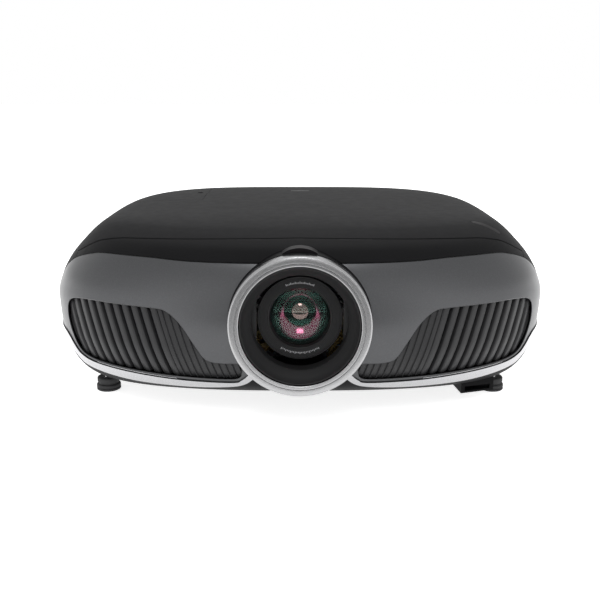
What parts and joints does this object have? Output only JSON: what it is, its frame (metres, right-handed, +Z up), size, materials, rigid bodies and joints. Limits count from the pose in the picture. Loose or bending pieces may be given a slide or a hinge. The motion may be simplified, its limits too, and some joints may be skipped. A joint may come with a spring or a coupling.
{
  "type": "home projector",
  "caption": "Home-cinema projector with rounded black casing, dark metallic front, large silver lens ring, slanted louvre vents, silver lower trim and screw feet.",
  "frame": {"origin": "centre of the overall box in plan, on the plane of the feet", "axes": "+Z up, lens facing -Y, +X across the width"},
  "size_m": [0.52, 0.4499, 0.193],
  "materials": {
    "matte_black": "fine-grained matte moulding",
    "satin_black": "satin moulding",
    "gunmetal": "satin metallic paint on moulded plastic",
    "silver_trim": "satin plated trim",
    "vent_black": "satin louvres",
    "silver_ring": "spun satin ring",
    "funnel_black": "satin cone",
    "dark_window": "infrared window",
    "steel": "plated steel",
    "connector_metal": "pressed shells",
    "connector_black": "moulded inlet",
    "filter_media": "pleated filter paper",
    "barrel_black": "satin moulded barrel",
    "coated_glass": "multi-coated lens glass",
    "gear_plastic": "moulded gears",
    "brass_gear": "cut pinions",
    "cast_alloy": "cast alloy",
    "clear_glass": "polished glass",
    "reflector": "bright reflector",
    "circuit_board": "solder-masked board",
    "foot_rubber": "moulded rubber",
    "key_plastic": "moulded keys"
  },
  "bodies": {
    "case": {"top_cover": "matte_black", "brow": "satin_black", "lower_case": "matte_black", "front_panel": "gunmetal", "trim_left": "silver_trim", "trim_right": "silver_trim", "grille_left": "vent_black", "grille_right": "vent_black", "rear_foot_left": "foot_rubber", "rear_foot_right": "foot_rubber", "lens_ring": "silver_ring", "lens_collar": "satin_black", "lens_funnel": "funnel_black", "front_receiver": "dark_window", "deck_receiver": "dark_window", "status_window": "dark_window", "control_panel": "satin_black", "rear_panel": "satin_black", "hdmi_socket_1": "connector_metal", "hdmi_socket_2": "connector_metal", "usb_socket": "connector_metal", "network_socket": "connector_metal", "power_inlet": "connector_black", "underside_duct": "satin_black", "optical_engine": "cast_alloy", "prism": "clear_glass", "lamp_housing": "cast_alloy", "lamp_reflector": "reflector", "fan_frame": "satin_black", "power_supply": "circuit_board", "main_board": "circuit_board"},
    "shutter_left_leaf": {"shutter_left": "vent_black"},
    "shutter_right_leaf": {"shutter_right": "vent_black"},
    "shift_sled": {"shift_carriage": "steel"},
    "lens": {"shift_plate": "steel", "lens_barrel": "barrel_black", "front_glass": "coated_glass"},
    "focus_gear": {"focus_ring": "gear_plastic"},
    "focus_drive": {"focus_pinion": "brass_gear"},
    "zoom_gear": {"zoom_ring": "gear_plastic"},
    "zoom_drive": {"zoom_pinion": "brass_gear"},
    "door": {"control_door": "matte_black"},
    "power_key": {"power_button": "key_plastic"},
    "source_key": {"source_button": "key_plastic"},
    "menu_key": {"menu_button": "key_plastic"},
    "escape_key": {"escape_button": "key_plastic"},
    "enter_key": {"enter_button": "key_plastic"},
    "up_key": {"up_button": "key_plastic"},
    "down_key": {"down_button": "key_plastic"},
    "left_key": {"left_button": "key_plastic"},
    "right_key": {"right_button": "key_plastic"},
    "lamp_door": {"lamp_cover": "matte_black"},
    "lamp_screw": {"lamp_cover_screw": "steel"},
    "filter_drawer": {"filter_cover": "matte_black", "air_filter": "filter_media"},
    "foot_thread_left": {"foot_stud_left": "steel"},
    "foot_knob_left": {"foot_pad_left": "foot_rubber"},
    "foot_thread_right": {"foot_stud_right": "steel"},
    "foot_knob_right": {"foot_pad_right": "foot_rubber"},
    "fan": {"fan_rotor": "gear_plastic"}
  },
  "joints": [
    {"name": "shutter_close", "type": "slide", "parent": "case", "child": "shutter_left_leaf", "axis": [1, 0, 0], "range_m": [0, 0.0459]},
    {"name": "shutter_close_right", "type": "slide", "parent": "case", "child": "shutter_right_leaf", "axis": [-1, 0, 0], "range_m": [0, 0.0459]},
    {"name": "lens_shift_sideways", "type": "slide", "parent": "case", "child": "shift_sled", "axis": [1, 0, 0], "range_m": [-0.008, 0.008]},
    {"name": "lens_shift_height", "type": "slide", "parent": "shift_sled", "child": "lens", "axis": [0, 0, 1], "range_m": [-0.012, 0.012]},
    {"name": "focus_turn", "type": "hinge", "parent": "lens", "child": "focus_gear", "pos_m": [0, -0.15, 0.1135], "axis": [0, 1, 0], "range_deg": [-35, 35]},
    {"name": "focus_drive_turn", "type": "hinge", "parent": "lens", "child": "focus_drive", "pos_m": [0.03818, -0.15, 0.07532], "axis": [0, 1, 0], "range_deg": [-105, 105]},
    {"name": "zoom_turn", "type": "hinge", "parent": "lens", "child": "zoom_gear", "pos_m": [0, -0.15, 0.1135], "axis": [0, 1, 0], "range_deg": [-35, 35]},
    {"name": "zoom_drive_turn", "type": "hinge", "parent": "lens", "child": "zoom_drive", "pos_m": [-0.03818, -0.15, 0.07532], "axis": [0, 1, 0], "range_deg": [-105, 105]},
    {"name": "control_door_slide", "type": "slide", "parent": "case", "child": "door", "axis": [0, 1, 0], "range_m": [0, 0.05]},
    {"name": "power_press", "type": "slide", "parent": "case", "child": "power_key", "axis": [-1, 0, 0], "range_m": [0, 0.001], "stiffness_N_per_m": 300},
    {"name": "source_press", "type": "slide", "parent": "case", "child": "source_key", "axis": [-1, 0, 0], "range_m": [0, 0.001], "stiffness_N_per_m": 300},
    {"name": "menu_press", "type": "slide", "parent": "case", "child": "menu_key", "axis": [-1, 0, 0], "range_m": [0, 0.001], "stiffness_N_per_m": 300},
    {"name": "escape_press", "type": "slide", "parent": "case", "child": "escape_key", "axis": [-1, 0, 0], "range_m": [0, 0.001], "stiffness_N_per_m": 300},
    {"name": "enter_press", "type": "slide", "parent": "case", "child": "enter_key", "axis": [-1, 0, 0], "range_m": [0, 0.001], "stiffness_N_per_m": 300},
    {"name": "up_press", "type": "slide", "parent": "case", "child": "up_key", "axis": [-1, 0, 0], "range_m": [0, 0.001], "stiffness_N_per_m": 300},
    {"name": "down_press", "type": "slide", "parent": "case", "child": "down_key", "axis": [-1, 0, 0], "range_m": [0, 0.001], "stiffness_N_per_m": 300},
    {"name": "left_press", "type": "slide", "parent": "case", "child": "left_key", "axis": [-1, 0, 0], "range_m": [0, 0.001], "stiffness_N_per_m": 300},
    {"name": "right_press", "type": "slide", "parent": "case", "child": "right_key", "axis": [-1, 0, 0], "range_m": [0, 0.001], "stiffness_N_per_m": 300},
    {"name": "lamp_cover_slide", "type": "slide", "parent": "case", "child": "lamp_door", "axis": [-1, 0, 0], "range_m": [0, 0.09]},
    {"name": "lamp_screw_turn", "type": "hinge", "parent": "lamp_door", "child": "lamp_screw", "pos_m": [-0.126, 0.12, 0.19], "axis": [0, 0, 1], "range_deg": [0, 1440]},
    {"name": "filter_pull", "type": "slide", "parent": "case", "child": "filter_drawer", "axis": [0, 1, 0], "range_m": [0, 0.08]},
    {"name": "foot_extend_left", "type": "slide", "parent": "case", "child": "foot_thread_left", "axis": [0, 0, -1], "range_m": [0, 0.012]},
    {"name": "foot_turn_left", "type": "hinge", "parent": "foot_thread_left", "child": "foot_knob_left", "pos_m": [-0.211, -0.07, 0.004], "axis": [0, 0, 1], "range_deg": [0, 2880]},
    {"name": "foot_extend_right", "type": "slide", "parent": "case", "child": "foot_thread_right", "axis": [0, 0, -1], "range_m": [0, 0.012]},
    {"name": "foot_turn_right", "type": "hinge", "parent": "foot_thread_right", "child": "foot_knob_right", "pos_m": [0.211, -0.07, 0.004], "axis": [0, 0, 1], "range_deg": [0, 2880]},
    {"name": "fan_spin", "type": "hinge", "parent": "case", "child": "fan", "pos_m": [-0.148, -0.1155, 0.095], "axis": [0, 1, 0], "continuous": true}
  ],
  "couplings": [
    {"joint": "shutter_close_right", "follows": "shutter_close", "ratio": 1},
    {"joint": "focus_drive_turn", "follows": "focus_turn", "ratio": -3},
    {"joint": "zoom_drive_turn", "follows": "zoom_turn", "ratio": -3},
    {"joint": "foot_turn_left", "follows": "foot_extend_left", "rad_per_m": 4188.8},
    {"joint": "foot_turn_right", "follows": "foot_extend_right", "rad_per_m": 4188.8}
  ]
}
